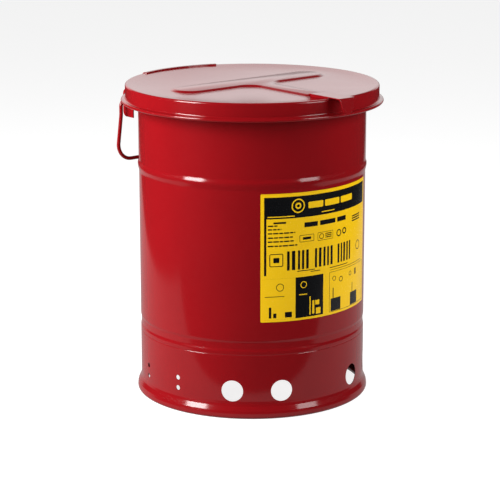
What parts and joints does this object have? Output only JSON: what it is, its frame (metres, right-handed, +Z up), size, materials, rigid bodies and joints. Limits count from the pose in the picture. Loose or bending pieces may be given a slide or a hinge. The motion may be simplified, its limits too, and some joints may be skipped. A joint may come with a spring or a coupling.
{
  "type": "oily waste can",
  "caption": "Round steel waste can with a hinged self-closing lid, lift tab, wire carrying handle at the back and air vents under a raised bottom.",
  "frame": {"origin": "centre of the foot ring, on the floor", "axes": "+Z up; the lift tab and the label face -Y; the hinge and the handle are at +Y; +X is to the right of someone facing the can's front"},
  "size_m": [0.3358, 0.3589, 0.4051],
  "materials": {
    "red_paint": "glossy red powder coat",
    "bare_steel": "zinc-plated steel",
    "label": "printed vinyl"
  },
  "bodies": {
    "body": {"body_shell": "red_paint", "rim_wire": "bare_steel", "bottom_pan": "red_paint", "label": "label", "hinge_bracket": "red_paint", "bracket_rivet_1": "red_paint", "bracket_rivet_2": "red_paint", "bracket_rivet_3": "red_paint", "bracket_rivet_4": "red_paint", "hinge_rod": "bare_steel", "rod_cap_left": "bare_steel", "rod_cap_right": "bare_steel"},
    "lid": {"lid_shell": "red_paint", "hem_wire": "bare_steel", "lid_hinge_plate": "red_paint", "plate_rivet_1": "red_paint", "plate_rivet_2": "red_paint", "plate_rivet_3": "red_paint", "plate_rivet_4": "red_paint", "lift_tab": "red_paint"},
    "handle": {"carry_handle": "red_paint"}
  },
  "joints": [
    {"name": "lid_hinge", "type": "hinge", "parent": "body", "child": "lid", "pos_m": [0, 0.166, 0.374], "axis": [-1, 0, 0], "range_deg": [0, 60]},
    {"name": "handle_swing", "type": "hinge", "parent": "body", "child": "handle", "pos_m": [0, 0.1704, 0.366], "axis": [1, 0, 0], "range_deg": [-14, 160]}
  ]
}
